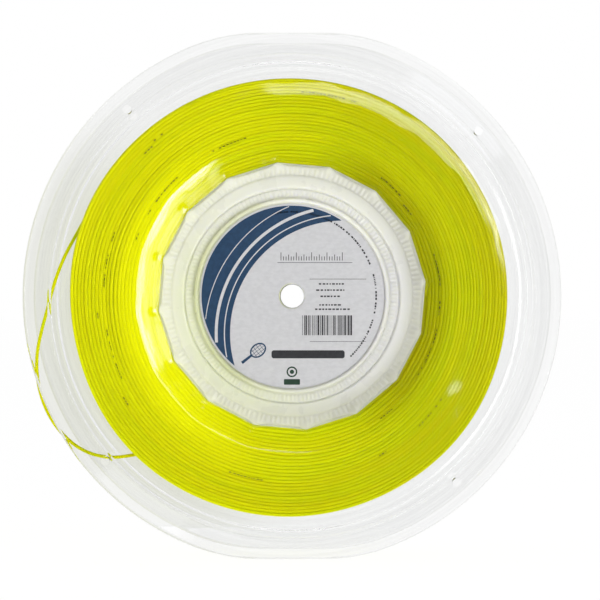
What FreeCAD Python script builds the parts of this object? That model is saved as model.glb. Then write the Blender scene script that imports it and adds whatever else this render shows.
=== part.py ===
import FreeCAD, Part
import os
from math import sin, cos, tan, pi, radians, degrees, acos, sqrt
from FreeCAD import Vector

# String reel: a clear plastic reel of racket string, standing on the flat of its rims.
# Frame: the reel's axis is Y, the labelled front faces -Y, +Z is up.
# Origin: on the axle bore's axis, half way between the two flanges.
# All lengths are in millimetres.

# ---- driving dimensions ---------------------------------------------------
RIM_R = 100.0            # flange outer radius
RIM_FLAT = 97.7          # distance from the axis to the standing flats (top and bottom)
BLEND_R = 70.0           # radius that blends a flat into the round rim
LOOP_POINTS = 120        # points of each loop round a flange
RIM_Y = 21.0             # half the overall width, rim to rim
FACE_Y = 15.6            # outer face of the flat part of a flange
WALL = 1.4               # flange wall
STEP_R = 90.0            # circle where the flat disc steps into the conical rim
COLLAR_R0 = 51.5         # inner end of the sunk collar of a flange
COLLAR_R1 = 58.5         # outer end of the sunk collar
COLLAR_DIP = 2.0         # how far the collar is sunk
FLANGE_HOLE_R = 47.3     # hole in the middle of a flange

HOLE_PCR = 92.8          # circle of the thread-end holes
HOLE_R = 1.6             # thread-end hole
HOLE_COUNT = 4
HOLE_PHASE = 41.5        # degrees from +X towards +Z

DRUM_SIDES = 16
DRUM_PHASE = 6.3         # degrees from +X towards +Z of the first corner
DRUM_R = 50.3            # corner radius of the drum
DRUM_BORE_R = 47.15      # round inside of the drum

SPIGOT_R = 47.0          # spigot of a hub cap, a push fit in the drum
SPIGOT_Y = 7.0           # inner end of the spigot
CAP_RIM_R = 48.7         # rim of a hub cap, which bears on the flange collar
LUG_R = 2.3              # rounded lug of a hub cap
LUG_PCR = 48.4           # circle of the lugs
LUG_TOP = 14.7
SEAT_R = 34.7            # label seat
SEAT_Y = 19.1

BORE_R = 4.5             # axle bore
SLEEVE_R = 6.2           # outside of the axle sleeve
LABEL_R = 34.3
LABEL_HOLE_R = 4.9
LABEL_T = 0.25

WIND_R = 81.8            # outer radius of the winding
WIND_DX, WIND_DZ = -1.4, -0.6   # the winding is laid slightly lopsided
WIND_Y = 14.0            # half width of the winding
STRING_D = 1.3           # string

Y = Vector(0, 1, 0)
O = Vector(0, 0, 0)


def revolve(points, centre=O):
    """Closed profile of (radius, y) points, turned about an axis along Y."""
    pts = [Vector(centre.x + r, y, centre.z) for r, y in points]
    face = Part.Face(Part.makePolygon(pts + [pts[0]]))
    return face.revolve(centre, Y, 360)


def mirror_y(shape):
    return shape.mirror(O, Y)


def polar(r, deg, y=0.0):
    return Vector(r * cos(radians(deg)), y, r * sin(radians(deg)))


def one_solid(shape):
    shape = shape.removeSplitter()
    solids = shape.Solids
    assert len(solids) == 1, len(solids)
    s = solids[0]
    if s.Volume < 0:
        s.reverse()
    assert s.isValid()
    return s


# ---- flange: closed loops round the axis, skinned with ruled faces ----------
# Inside the step every loop is a circle. Outside it the loops are squeezed
# towards the axis at the two flats, so the conical rim and its lip follow the
# flats without losing height.
def rim_radius(deg):
    """Outline radius at an angle from +X towards +Z."""
    off = radians(abs(abs((deg + 180.0) % 360.0 - 180.0) - 90.0))
    z0 = RIM_FLAT - BLEND_R
    x0 = sqrt((RIM_R - RIM_FLAT) * (RIM_R + RIM_FLAT - 2 * BLEND_R))
    if tan(off) * RIM_FLAT <= x0:
        return RIM_FLAT / cos(off)
    if tan(off) * z0 <= x0:
        along = x0 * sin(off) + z0 * cos(off)
        return along + sqrt(along ** 2 - x0 ** 2 - z0 ** 2 + BLEND_R ** 2)
    return RIM_R


def loop(r, y):
    pts = []
    for k in range(LOOP_POINTS):
        deg = 360.0 * k / LOOP_POINTS
        rr = r
        if r > STEP_R:
            rr = STEP_R + (r - STEP_R) * (rim_radius(deg) - STEP_R) / (RIM_R - STEP_R)
        pts.append(polar(rr, deg, y))
    curve = Part.BSplineCurve()
    curve.interpolate(Points=pts, PeriodicFlag=True)
    return curve.toShape()


inner_y = FACE_Y - WALL
flange_profile = [
    (FLANGE_HOLE_R, FACE_Y - COLLAR_DIP),
    (COLLAR_R0, FACE_Y - COLLAR_DIP),
    (COLLAR_R1, FACE_Y),
    (STEP_R, FACE_Y),
    (STEP_R + 0.7, FACE_Y + 0.9),
    (RIM_R - 2.4, RIM_Y - 0.4),
    (RIM_R - 1.6, RIM_Y),
    (RIM_R - 0.6, RIM_Y),
    (RIM_R, RIM_Y - 0.6),
    (RIM_R, RIM_Y - 1.9),
    (RIM_R - 2.0, RIM_Y - 2.4),
    (STEP_R + 1.5, FACE_Y - 0.6),
    (STEP_R + 0.8, inner_y),
    (COLLAR_R1 - 0.3, inner_y),
    (COLLAR_R0 - 0.3, inner_y - COLLAR_DIP),
    (FLANGE_HOLE_R, inner_y - COLLAR_DIP),
]
rings = [loop(r, y) for r, y in flange_profile]
skins = []
for i in range(len(rings)):
    j = (i + 1) % len(rings)
    (r1, y1), (r2, y2) = flange_profile[i], flange_profile[j]
    if abs(y1 - y2) < 1e-9:
        skins.append(Part.makeFace([Part.Wire(rings[i]), Part.Wire(rings[j])], "Part::FaceMakerBullseye"))
    else:
        skins.append(Part.makeRuledSurface(rings[i], rings[j]))
shell = Part.makeShell(skins)
shell.sewShape()
shell = shell.Shells[0] if shell.Shells else shell
flange = Part.Solid(shell)
if flange.Volume < 0:
    flange.reverse()
# the flats that the reel stands on are planed true
for sz in (1, -1):
    flange = flange.cut(Part.makeBox(240, 60, 20, Vector(-120, -30, RIM_FLAT - 0.03 if sz > 0 else -RIM_FLAT + 0.03 - 20)))
thread_holes = [Part.makeCylinder(HOLE_R, 40, polar(HOLE_PCR, HOLE_PHASE + 90 * k, 5), Y)
                for k in range(HOLE_COUNT)]
flange = one_solid(flange.cut(Part.makeCompound(thread_holes)))
rear_flange = flange
front_flange = one_solid(mirror_y(flange))

# ---- drum that the string is wound on --------------------------------------
def drum_prism(radius, half):
    pts = [polar(radius, DRUM_PHASE + 360.0 / DRUM_SIDES * k, -half) for k in range(DRUM_SIDES)]
    return Part.Face(Part.makePolygon(pts + [pts[0]])).extrude(Vector(0, 2 * half, 0))


drum_half = inner_y - COLLAR_DIP
hub_drum = drum_prism(DRUM_R, drum_half).cut(
    Part.makeCylinder(DRUM_BORE_R, 60, Vector(0, -30, 0), Y))
hub_drum = one_solid(hub_drum)

# ---- hub cap: rim and lugs on the flange, spigot in the drum, label seat -----
cap_profile = [
    (SPIGOT_R, SPIGOT_Y),
    (SPIGOT_R, FACE_Y - COLLAR_DIP + 0.05),
    (CAP_RIM_R, FACE_Y - COLLAR_DIP + 0.05),
    (CAP_RIM_R, 14.3),
    (44.9, 15.9),
    (40.5, 18.7),
    (40.0, 18.4),
    (39.6, 18.7),
    (36.4, 19.7),
    (36.2, 20.1),
    (35.3, 20.3),
    (34.9, 20.0),
    (SEAT_R, SEAT_Y),
    (BORE_R, SEAT_Y),
    (BORE_R, SEAT_Y - 1.4),
    (SLEEVE_R + 0.1, SEAT_Y - 1.4),
    (SLEEVE_R + 0.1, SEAT_Y - 3.4),
    (SLEEVE_R + 1.6, SEAT_Y - 3.4),
    (SLEEVE_R + 1.6, SEAT_Y - 1.4),
    (33.4, SEAT_Y - 1.4),
    (35.4, 18.6),
    (39.4, 17.3),
    (44.0, 14.5),
    (SPIGOT_R - 1.4, 13.5),
    (SPIGOT_R - 1.4, SPIGOT_Y),
]
cap = revolve(cap_profile)
lug_base = FACE_Y - COLLAR_DIP + 0.05
lugs = [Part.makeCylinder(LUG_R, LUG_TOP - lug_base,
                          polar(LUG_PCR, DRUM_PHASE + 360.0 / DRUM_SIDES * k, lug_base), Y)
        for k in range(DRUM_SIDES)]
# the lugs stop short of the smooth cone of the cap
lug_group = Part.makeCompound(lugs).cut(
    Part.makeCylinder(47.2, 5, Vector(0, 12, 0), Y))
cap = cap.fuse(lug_group.Solids)
rear_hub_cap = one_solid(cap)
front_hub_cap = one_solid(mirror_y(cap))

# ---- axle sleeve between the caps --------------------------------------------
sleeve_half = SEAT_Y - 1.4
axle_sleeve = one_solid(revolve([(BORE_R, -sleeve_half), (SLEEVE_R, -sleeve_half),
                                 (SLEEVE_R, sleeve_half), (BORE_R, sleeve_half)]))

# ---- label on the front seat ----------------------------------------------
front_label = one_solid(revolve([(LABEL_HOLE_R, -SEAT_Y - LABEL_T), (LABEL_R, -SEAT_Y - LABEL_T),
                                 (LABEL_R, -SEAT_Y), (LABEL_HOLE_R, -SEAT_Y)]))

# ---- winding ---------------------------------------------------------------
wy = WIND_Y
between = revolve([(40, -wy + 2), (COLLAR_R0 - 0.2, -wy + 2), (COLLAR_R1 - 0.1, -wy), (95, -wy),
                   (95, wy), (COLLAR_R1 - 0.1, wy), (COLLAR_R0 - 0.2, wy - 2), (40, wy - 2)])
crown = revolve([(0, -wy - 1), (WIND_R - 6.0, -wy - 1), (WIND_R - 6.0, -wy), (WIND_R - 2.2, -wy + 1.6),
                 (WIND_R, -wy + 5.0), (WIND_R, wy - 5.0), (WIND_R - 2.2, wy - 1.6),
                 (WIND_R - 6.0, wy), (WIND_R - 6.0, wy + 1), (0, wy + 1)],
                Vector(WIND_DX, 0, WIND_DZ))
string_winding = between.common(crown).cut(drum_prism(DRUM_R + 0.05, 30))
string_winding = one_solid(string_winding)

# ---- the loose loop of string ------------------------------------------------
# Route (x, y, z): it leaves the outer layer at the upper left, bows out between
# the rims and goes back under the outer layer at the lower left.
TAIL = [
    (-79.0, -5.0, 27.4),
    (-82.4, -5.0, 21.4),
    (-85.7, -5.2, 15.2),
    (-88.4, -5.4, 8.6),
    (-90.6, -5.6, 1.5),
    (-92.6, -5.7, -6.0),
    (-94.6, -5.7, -13.4),
    (-96.2, -5.6, -20.9),
    (-96.4, -5.4, -28.5),
    (-95.2, -5.2, -36.0),
    (-92.7, -5.0, -43.2),
    (-88.7, -4.9, -49.8),
    (-83.4, -4.9, -55.4),
    (-77.0, -5.0, -59.3),
    (-70.2, -5.2, -60.9),
    (-63.8, -5.4, -60.7),
    (-57.6, -5.6, -59.5),
]


def tube(points, diameter, share=0.45):
    pts = [Vector(*p) for p in points]
    n = len(pts)
    radii, edges, length = [], [], 0.0
    start = pts[0]
    for i in range(1, n - 1):
        u = (pts[i] - pts[i - 1]).normalize()
        w = (pts[i + 1] - pts[i]).normalize()
        turn = u.getAngle(w)
        run = min((pts[i] - pts[i - 1]).Length, (pts[i + 1] - pts[i]).Length)
        radius = share * run / tan(turn / 2)
        radii.append(radius)
        cut = share * run
        a = pts[i] - u * cut
        b = pts[i] + w * cut
        bis = (w - u).normalize()
        centre = pts[i] + bis * (radius / cos(turn / 2))
        mid = centre - bis * radius
        edges.append(Part.LineSegment(start, a).toShape())
        length += (a - start).Length
        edges.append(Part.Arc(a, mid, b).toShape())
        length += radius * turn
        start = b
    edges.append(Part.LineSegment(start, pts[-1]).toShape())
    length += (pts[-1] - start).Length
    path = Part.Wire(edges)
    d0 = (pts[1] - pts[0]).normalize()
    ring = Part.Wire(Part.makeCircle(diameter / 2, pts[0], d0))
    solid = path.makePipeShell([ring], True, False)
    runs = [(pts[i + 1] - pts[i]).Length for i in range(n - 1)]
    print("string_tail runs", [round(r, 1) for r in runs])
    print("string_tail arc radii", [round(r, 1) for r in radii])
    print("string_tail length %.2f, polyline %.2f" % (length, sum(runs)))
    print("string_tail volume %.3f, section x length %.3f" % (solid.Volume, pi * diameter ** 2 / 4 * length))
    return solid


# its inner end stops at the face of the winding
string_tail = one_solid(tube(TAIL, STRING_D).cut(string_winding))

# ---- export ------------------------------------------------------------------
os.makedirs("parts", exist_ok=True)
nodes = {
    "front_flange": front_flange,
    "rear_flange": rear_flange,
    "hub_drum": hub_drum,
    "front_hub_cap": front_hub_cap,
    "rear_hub_cap": rear_hub_cap,
    "axle_sleeve": axle_sleeve,
    "front_label": front_label,
    "string_winding": string_winding,
    "string_tail": string_tail,
}
for name, shape in nodes.items():
    bb = shape.BoundBox
    print("%-16s vol %10.1f  x %.2f %.2f  y %.2f %.2f  z %.2f %.2f  faces %d valid %s" % (
        name, shape.Volume, bb.XMin, bb.XMax, bb.YMin, bb.YMax, bb.ZMin, bb.ZMax, len(shape.Faces), shape.isValid()))
    shape.exportStep("parts/%s.step" % name)
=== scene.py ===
from math import atan2, cos, pi, radians, sin, sqrt, tan

import bmesh
import bpy
import numpy as np
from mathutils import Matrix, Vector


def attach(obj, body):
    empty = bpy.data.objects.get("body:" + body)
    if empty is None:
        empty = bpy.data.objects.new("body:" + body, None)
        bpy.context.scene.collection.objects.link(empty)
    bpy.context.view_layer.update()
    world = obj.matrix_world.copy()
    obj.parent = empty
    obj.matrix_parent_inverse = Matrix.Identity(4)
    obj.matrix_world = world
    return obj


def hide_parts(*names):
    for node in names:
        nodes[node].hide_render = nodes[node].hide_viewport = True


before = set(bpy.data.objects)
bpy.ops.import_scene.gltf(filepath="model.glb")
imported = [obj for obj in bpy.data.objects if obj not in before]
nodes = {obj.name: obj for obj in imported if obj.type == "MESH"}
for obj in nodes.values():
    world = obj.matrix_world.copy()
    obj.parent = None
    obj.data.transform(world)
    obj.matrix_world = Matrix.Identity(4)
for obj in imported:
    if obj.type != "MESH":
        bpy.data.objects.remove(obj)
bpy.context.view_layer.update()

# String reel, seen square on from the front (-Y). All lengths below are in
# millimetres, turned into metres when a mesh is made.
MM = 0.001
scene = bpy.context.scene

# ---------------------------------------------------------------- camera ----
cam_data = bpy.data.cameras.new("camera")
cam_data.sensor_width = 36.0
cam_data.lens = 154.9
cam_data.clip_start, cam_data.clip_end = 0.01, 60.0
cam = bpy.data.objects.new("camera", cam_data)
scene.collection.objects.link(cam)
cam.location = (0.0030, -0.979, -0.0015)
cam.rotation_euler = (pi / 2, 0.0, 0.0)
scene.camera = cam

scene.view_settings.view_transform = "Standard"
scene.view_settings.look = "None"
scene.view_settings.exposure = 0.0
scene.view_settings.gamma = 1.0
try:
    scene.cycles.use_denoising = True
    scene.cycles.max_bounces = 16
    scene.cycles.transmission_bounces = 14
    scene.cycles.transparent_max_bounces = 16
except AttributeError:
    pass


# ------------------------------------------------------- shader helpers -----
def new_material(name):
    mat = bpy.data.materials.new(name)
    mat.use_nodes = True
    mat.node_tree.nodes.clear()
    return mat, mat.node_tree


def put(nt, kind, inputs=None, **props):
    n = nt.nodes.new(kind)
    for k, v in props.items():
        setattr(n, k, v)
    for k, v in (inputs or {}).items():
        if isinstance(v, bpy.types.NodeSocket):
            nt.links.new(v, n.inputs[k])
        else:
            n.inputs[k].default_value = v
    return n


def calc(nt, op, a, b=None, c=None, clamp=False):
    n = nt.nodes.new("ShaderNodeMath")
    n.operation = op
    n.use_clamp = clamp
    for i, v in enumerate((a, b, c)):
        if v is None:
            continue
        if isinstance(v, bpy.types.NodeSocket):
            nt.links.new(v, n.inputs[i])
        else:
            n.inputs[i].default_value = v
    return n.outputs[0]


def remap(nt, v, lo, hi, to_lo=0.0, to_hi=1.0, smooth=True):
    n = put(nt, "ShaderNodeMapRange", {0: v, 1: lo, 2: hi, 3: to_lo, 4: to_hi})
    n.interpolation_type = "SMOOTHSTEP" if smooth else "LINEAR"
    return n.outputs[0]


def mix_colour(nt, fac, a, b, blend="MIX"):
    n = nt.nodes.new("ShaderNodeMix")
    n.data_type = "RGBA"
    n.blend_type = blend
    n.clamp_factor = True
    for i, v in ((0, fac), (6, a), (7, b)):
        if isinstance(v, bpy.types.NodeSocket):
            nt.links.new(v, n.inputs[i])
        elif i == 0:
            n.inputs[0].default_value = v
        else:
            n.inputs[i].default_value = tuple(v) + ((1.0,) if len(v) == 3 else ())
    return n.outputs[2]


def polar_nodes(nt):
    """Object coordinates as x, y, z, radius, and the unit direction round the axis."""
    tc = put(nt, "ShaderNodeTexCoord")
    sep = put(nt, "ShaderNodeSeparateXYZ", {0: tc.outputs["Object"]})
    x, y, z = sep.outputs
    r = calc(nt, "SQRT", calc(nt, "ADD", calc(nt, "MULTIPLY", x, x), calc(nt, "MULTIPLY", z, z)))
    r1 = calc(nt, "MAXIMUM", r, 1e-5)
    return tc.outputs["Object"], x, y, z, r, calc(nt, "DIVIDE", x, r1), calc(nt, "DIVIDE", z, r1)


def vec(nt, x, y, z):
    n = nt.nodes.new("ShaderNodeCombineXYZ")
    for i, v in enumerate((x, y, z)):
        if isinstance(v, bpy.types.NodeSocket):
            nt.links.new(v, n.inputs[i])
        else:
            n.inputs[i].default_value = v
    return n.outputs[0]


def noise(nt, vector, scale, detail=2.0, rough=0.5, distortion=0.0):
    n = put(nt, "ShaderNodeTexNoise", {"Vector": vector, "Scale": scale, "Detail": detail,
                                       "Roughness": rough, "Distortion": distortion})
    return n.outputs["Fac"]


def out(nt, surface):
    put(nt, "ShaderNodeOutputMaterial", {"Surface": surface})


def srgb(r, g, b):
    def f(v):
        v /= 255.0
        return v / 12.92 if v <= 0.04045 else ((v + 0.055) / 1.055) ** 2.4
    return (f(r), f(g), f(b))


# ------------------------------------------------------------ materials -----
def make_clear():
    """Clear moulded plastic: a soft gloss, flow marks and hair scratches."""
    mat, nt = new_material("clear_moulded_plastic")
    obj, x, y, z, r, cx, cz = polar_nodes(nt)
    flow = noise(nt, vec(nt, calc(nt, "MULTIPLY", cx, 3.0), calc(nt, "MULTIPLY", cz, 3.0),
                         calc(nt, "MULTIPLY", r, 60.0)), 1.0, 3.0, 0.5)
    hair = noise(nt, vec(nt, calc(nt, "MULTIPLY", cx, 2.0), calc(nt, "MULTIPLY", cz, 2.0),
                         calc(nt, "MULTIPLY", r, 700.0)), 1.0, 2.0, 0.6)
    height = calc(nt, "ADD", calc(nt, "MULTIPLY", flow, 1.0), calc(nt, "MULTIPLY", hair, 0.6))
    bump = put(nt, "ShaderNodeBump", {"Strength": 0.05, "Distance": 0.0002, "Height": height})
    rough = remap(nt, hair, 0.35, 0.75, 0.02, 0.05)
    streak = noise(nt, vec(nt, calc(nt, "MULTIPLY", cx, 1.3), calc(nt, "MULTIPLY", cz, 1.3),
                           calc(nt, "MULTIPLY", r, 1400.0)), 1.0, 2.0, 0.5)
    glass = put(nt, "ShaderNodeBsdfPrincipled", {
        "Base Color": (0.992, 0.995, 0.993, 1.0), "Roughness": rough, "IOR": 1.16,
        "Transmission Weight": 1.0, "Normal": bump.outputs[0],
        "Coat Weight": remap(nt, streak, 0.43, 0.57, 0.50, 1.0), "Coat Roughness": 0.065, "Coat IOR": 1.5, "Coat Normal": bump.outputs[0]})
    haze = put(nt, "ShaderNodeBsdfDiffuse", {"Color": (0.84, 0.85, 0.84, 1.0)})
    hazed = put(nt, "ShaderNodeMixShader", {0: 0.0012, 1: glass.outputs[0], 2: haze.outputs[0]})
    path = put(nt, "ShaderNodeLightPath")
    lamp = calc(nt, "MAXIMUM", path.outputs["Is Shadow Ray"], path.outputs["Is Diffuse Ray"])
    clear = put(nt, "ShaderNodeBsdfTransparent", {"Color": (0.99, 0.99, 0.99, 1.0)})
    both = put(nt, "ShaderNodeMixShader", {0: lamp, 1: hazed.outputs[0], 2: clear.outputs[0]})
    out(nt, both.outputs[0])
    return mat


def make_string(name="racket_string", gain=1.0):
    """Glossy yellow monofilament with long tonal bands along the turns, and painted shade and painted light across the
    wound face.
    """
    mat, nt = new_material(name)
    obj, x, y, z, r, cx, cz = polar_nodes(nt)
    along = vec(nt, calc(nt, "ADD", calc(nt, "MULTIPLY", cx, 1.1), calc(nt, "MULTIPLY", y, 130.0)),
                calc(nt, "MULTIPLY", cz, 1.1), calc(nt, "MULTIPLY", r, 260.0))
    band = noise(nt, along, 1.0, 2.0, 0.55)
    fine = noise(nt, vec(nt, calc(nt, "ADD", calc(nt, "MULTIPLY", cx, 2.4), calc(nt, "MULTIPLY", y, 700.0)),
                         calc(nt, "MULTIPLY", cz, 2.4), calc(nt, "MULTIPLY", r, 1100.0)), 1.0, 2.0, 0.5)
    lime, yellow, mustard, bright = srgb(240, 250, 0), srgb(249, 250, 0), srgb(249, 240, 0), srgb(253, 254, 0)
    # towards the outside on the +X side the turns are mustard; the +X side is painted darker and the turns by the hub
    # on the -X side are painted brightest, as painted shade and painted light
    side = calc(nt, "ADD", calc(nt, "MULTIPLY", x, 0.985), calc(nt, "MULTIPLY", z, 0.12))
    mustard_outer = calc(nt, "MULTIPLY", remap(nt, r, 0.064, 0.079), remap(nt, side, -0.015, 0.05))
    col = mix_colour(nt, remap(nt, band, 0.38, 0.62), yellow, lime)
    col = mix_colour(nt, calc(nt, "MULTIPLY", mustard_outer, remap(nt, band, 0.30, 0.60, 1.0, 0.35)), col, mustard)
    col = mix_colour(nt, remap(nt, fine, 0.45, 0.75, 0.0, 0.35), col, bright)
    if gain != 1.0:
        col = mix_colour(nt, 1.0, col, (gain, gain, gain), "MULTIPLY")
    # painted shade: the +X side of the wound face is painted about a third darker
    col = mix_colour(nt, remap(nt, side, -0.05, 0.06, 0.0, 0.95), col, mix_colour(nt, 1.0, col, (0.65, 0.67, 0.65), "MULTIPLY"))
    # painted shade on the turns by the hub on the +X side
    painted_hub_shade = calc(nt, "MULTIPLY", remap(nt, r, 0.0540, 0.0625, 1.0, 0.0), remap(nt, side, 0.012, 0.040))
    col = mix_colour(nt, painted_hub_shade, col, mix_colour(nt, 1.0, col, (0.74, 0.69, 0.7), "MULTIPLY"))
    # painted shade towards the lower outer edge on the -X side
    low = calc(nt, "MULTIPLY", remap(nt, r, 0.0640, 0.0760), calc(nt, "MULTIPLY", remap(nt, z, -0.050, -0.012, 1.0, 0.0), remap(nt, side, -0.010, 0.020, 1.0, 0.0)))
    col = mix_colour(nt, low, col, mix_colour(nt, 1.0, col, (0.90, 0.875, 0.9), "MULTIPLY"))
    # painted light: the turns by the hub on the -X side are painted bright yellow
    painted_lit_turns = calc(nt, "MULTIPLY", remap(nt, r, 0.0600, 0.0720, 1.0, 0.0), remap(nt, side, -0.052, -0.012, 1.0, 0.0))
    col = mix_colour(nt, painted_lit_turns, col, (0.99, 1.0, 0.0))
    # painted glow: the same turns by the hub emit a faint yellow light, though the string is no lamp
    glow = calc(nt, "MULTIPLY", remap(nt, r, 0.0585, 0.0690, 0.10, 0.0), remap(nt, side, -0.050, -0.015, 1.0, 0.0))
    bump = put(nt, "ShaderNodeBump", {"Strength": 0.2, "Distance": 0.0001,
                                      "Height": noise(nt, obj, 900.0, 2.0, 0.6)})
    p = put(nt, "ShaderNodeBsdfPrincipled", {
        "Base Color": col, "Roughness": remap(nt, fine, 0.3, 0.7, 0.30, 0.42), "IOR": 1.5,
        "Subsurface Weight": 1.0, "Subsurface Scale": 0.0006, "Specular Tint": (1.0, 1.0, 0.04, 1.0),
        "Specular IOR Level": 0.45, "Subsurface Radius": (1.0, 1.0, 0.25), "Normal": bump.outputs[0],
        "Emission Color": (0.97, 1.0, 0.0, 1.0), "Emission Strength": glow})
    out(nt, p.outputs[0])
    return mat


def make_milky(name="milky_plastic", tint=(0.69, 0.69, 0.665), warm=(0.82, 0.83, 0.64), wear=True):
    """Translucent milky plastic, with the string's yellowish light painted into it towards the left, as painted light.
    """
    mat, nt = new_material(name)
    obj, x, y, z, r, cx, cz = polar_nodes(nt)
    cloud = noise(nt, obj, 90.0, 3.0, 0.55)
    edge = remap(nt, r, 0.0400, 0.0470)
    # painted light: towards the -X side the plastic is painted in the string's yellowish tint
    side = calc(nt, "ADD", calc(nt, "MULTIPLY", cx, -0.93), calc(nt, "MULTIPLY", cz, 0.10))
    side = calc(nt, "ADD", side, calc(nt, "MULTIPLY", calc(nt, "SUBTRACT", cloud, 0.5), 0.7))
    fac = remap(nt, side, -0.85, 0.85)
    # the outer ring takes it more strongly: painted shade darkens it on the +X side, painted yellowish light brightens
    # it on the -X side
    inner = mix_colour(nt, fac, tuple(min(0.93, c * 1.10) for c in tint), tuple(min(0.93, c * k) for c, k in zip(warm, (1.06, 1.08, 1.06))))
    outer = mix_colour(nt, fac, tuple(c * k for c, k in zip(tint, (0.90, 0.90, 0.82))), tuple(min(0.93, c * k) for c, k in zip(warm, (1.10, 1.10, 1.18))))
    col = mix_colour(nt, edge, inner, outer)
    # painted light: the upper part of the hub is painted paler, most of all inside the ring
    col = mix_colour(nt, calc(nt, "MULTIPLY", remap(nt, cz, 0.10, 0.95, 0.0, 0.85), remap(nt, r, 0.0400, 0.0465, 1.0, 0.45)), col, (0.93, 0.93, 0.84))
    # painted shade: the lower part is painted slightly darker
    col = mix_colour(nt, remap(nt, cz, -0.95, -0.10, 1.0, 0.0), col, mix_colour(nt, 1.0, col, (0.91, 0.91, 0.90), "MULTIPLY"))
    # painted shade: by the label's seat on the -X side the plastic is painted darker and yellower
    seat = calc(nt, "MULTIPLY", remap(nt, r, 0.0360, 0.0385, 1.0, 0.0), remap(nt, fac, 0.55, 0.95))
    col = mix_colour(nt, seat, col, mix_colour(nt, 1.0, col, (0.80, 0.81, 0.68), "MULTIPLY"))
    speck = noise(nt, obj, 600.0, 3.0, 0.6)
    col = mix_colour(nt, remap(nt, speck, 0.55, 0.8, 0.0, 0.10), col, tuple(c * 0.75 for c in tint))
    bump = put(nt, "ShaderNodeBump", {"Strength": 0.15, "Distance": 0.0002,
                                      "Height": noise(nt, obj, 420.0, 3.0, 0.6)})
    p = put(nt, "ShaderNodeBsdfPrincipled", {
        "Base Color": col, "Roughness": remap(nt, cloud, 0.3, 0.7, 0.24, 0.38), "IOR": 1.49,
        "Subsurface Weight": 1.0, "Subsurface Scale": 0.0012,
        "Subsurface Radius": (1.0, 1.0, 0.8), "Normal": bump.outputs[0]})
    out(nt, p.outputs[0])
    return mat


def make_paper():
    """Silver-grey satin label stock."""
    mat, nt = new_material("silver_label_stock")
    obj, x, y, z, r, cx, cz = polar_nodes(nt)
    grain = noise(nt, vec(nt, calc(nt, "MULTIPLY", x, 500.0), calc(nt, "MULTIPLY", y, 500.0),
                          calc(nt, "MULTIPLY", z, 900.0)), 1.0, 3.0, 0.6)
    col = mix_colour(nt, remap(nt, grain, 0.3, 0.7), srgb(201, 201, 203), srgb(209, 209, 211))
    wave = noise(nt, obj, 45.0, 2.0, 0.5)
    bump = put(nt, "ShaderNodeBump", {"Strength": 0.25, "Distance": 0.0003, "Height": wave})
    p = put(nt, "ShaderNodeBsdfPrincipled", {
        "Base Color": col, "Roughness": remap(nt, grain, 0.3, 0.7, 0.38, 0.5), "IOR": 1.45,
        "Metallic": 0.0, "Normal": bump.outputs[0]})
    out(nt, p.outputs[0])
    return mat


def make_ink(name, colour, rough=0.42, vary=0.12):
    mat, nt = new_material(name)
    tc = put(nt, "ShaderNodeTexCoord")
    n = noise(nt, tc.outputs["Object"], 700.0, 3.0, 0.6)
    lo = tuple(c * (1 - vary) for c in colour)
    hi = tuple(min(1.0, c * (1 + vary)) for c in colour)
    col = mix_colour(nt, remap(nt, n, 0.3, 0.7), lo, hi)
    p = put(nt, "ShaderNodeBsdfPrincipled", {
        "Base Color": col, "Roughness": remap(nt, n, 0.3, 0.7, rough - 0.05, rough + 0.08), "IOR": 1.36})
    out(nt, p.outputs[0])
    return mat


M_CLEAR = make_clear()
M_STRING = make_string()
# darker copies of the string as painted shade: the wound body under the turns a little darker, the loose string more
M_CORE = make_string("racket_string_core", 0.96)
M_LOOSE = make_string("racket_string_loose", 0.80)
M_MILKY = make_milky()
M_PAPER = make_paper()
M_NAVY = make_ink("navy_ink", srgb(34, 66, 98))
M_DARK = make_ink("dark_grey_ink", srgb(52, 52, 56))
M_GREEN = make_ink("dark_green_ink", srgb(38, 66, 50))
M_MARK = make_ink("string_print", srgb(38, 37, 8), 0.3)
M_FAINT = make_ink("string_print_worn", srgb(136, 136, 10), 0.3)


# --------------------------------------------------------- mesh helpers -----
def mesh_object(name, verts, faces, mats, smooth=True, sharp_deg=None, face_mats=None):
    me = bpy.data.meshes.new(name)
    me.from_pydata(np.asarray(verts, dtype=float).tolist() if isinstance(verts, np.ndarray) else verts, [],
                   faces.tolist() if isinstance(faces, np.ndarray) else faces)
    me.validate()
    for m in (mats if isinstance(mats, (list, tuple)) else [mats]):
        me.materials.append(m)
    if smooth:
        me.polygons.foreach_set("use_smooth", np.ones(len(me.polygons), dtype=bool))
        if sharp_deg is not None:
            me.set_sharp_from_angle(angle=radians(sharp_deg))
    if face_mats is not None:
        me.polygons.foreach_set("material_index", np.asarray(face_mats, dtype=np.int32))
    me.update()
    ob = bpy.data.objects.new(name, me)
    scene.collection.objects.link(ob)
    return ob


def add_uv(ob, uv):
    """uv: one pair per loop, in a map that a baker may use."""
    layer = ob.data.uv_layers.new(name="OFBake", do_init=False)
    layer.uv.foreach_set("vector", np.asarray(uv, dtype=np.float32).ravel())


def grid_faces(n, m, wrap_n=True, wrap_m=True, flip=False):
    """Quads of an n by m grid of vertices, index i*m+j."""
    i = np.arange(n if wrap_n else n - 1)
    j = np.arange(m if wrap_m else m - 1)
    I, J = np.meshgrid(i, j, indexing="ij")
    I2, J2 = (I + 1) % n, (J + 1) % m
    q = np.stack([I * m + J, I2 * m + J, I2 * m + J2, I * m + J2], axis=-1).reshape(-1, 4)
    return q[:, ::-1] if flip else q


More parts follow.
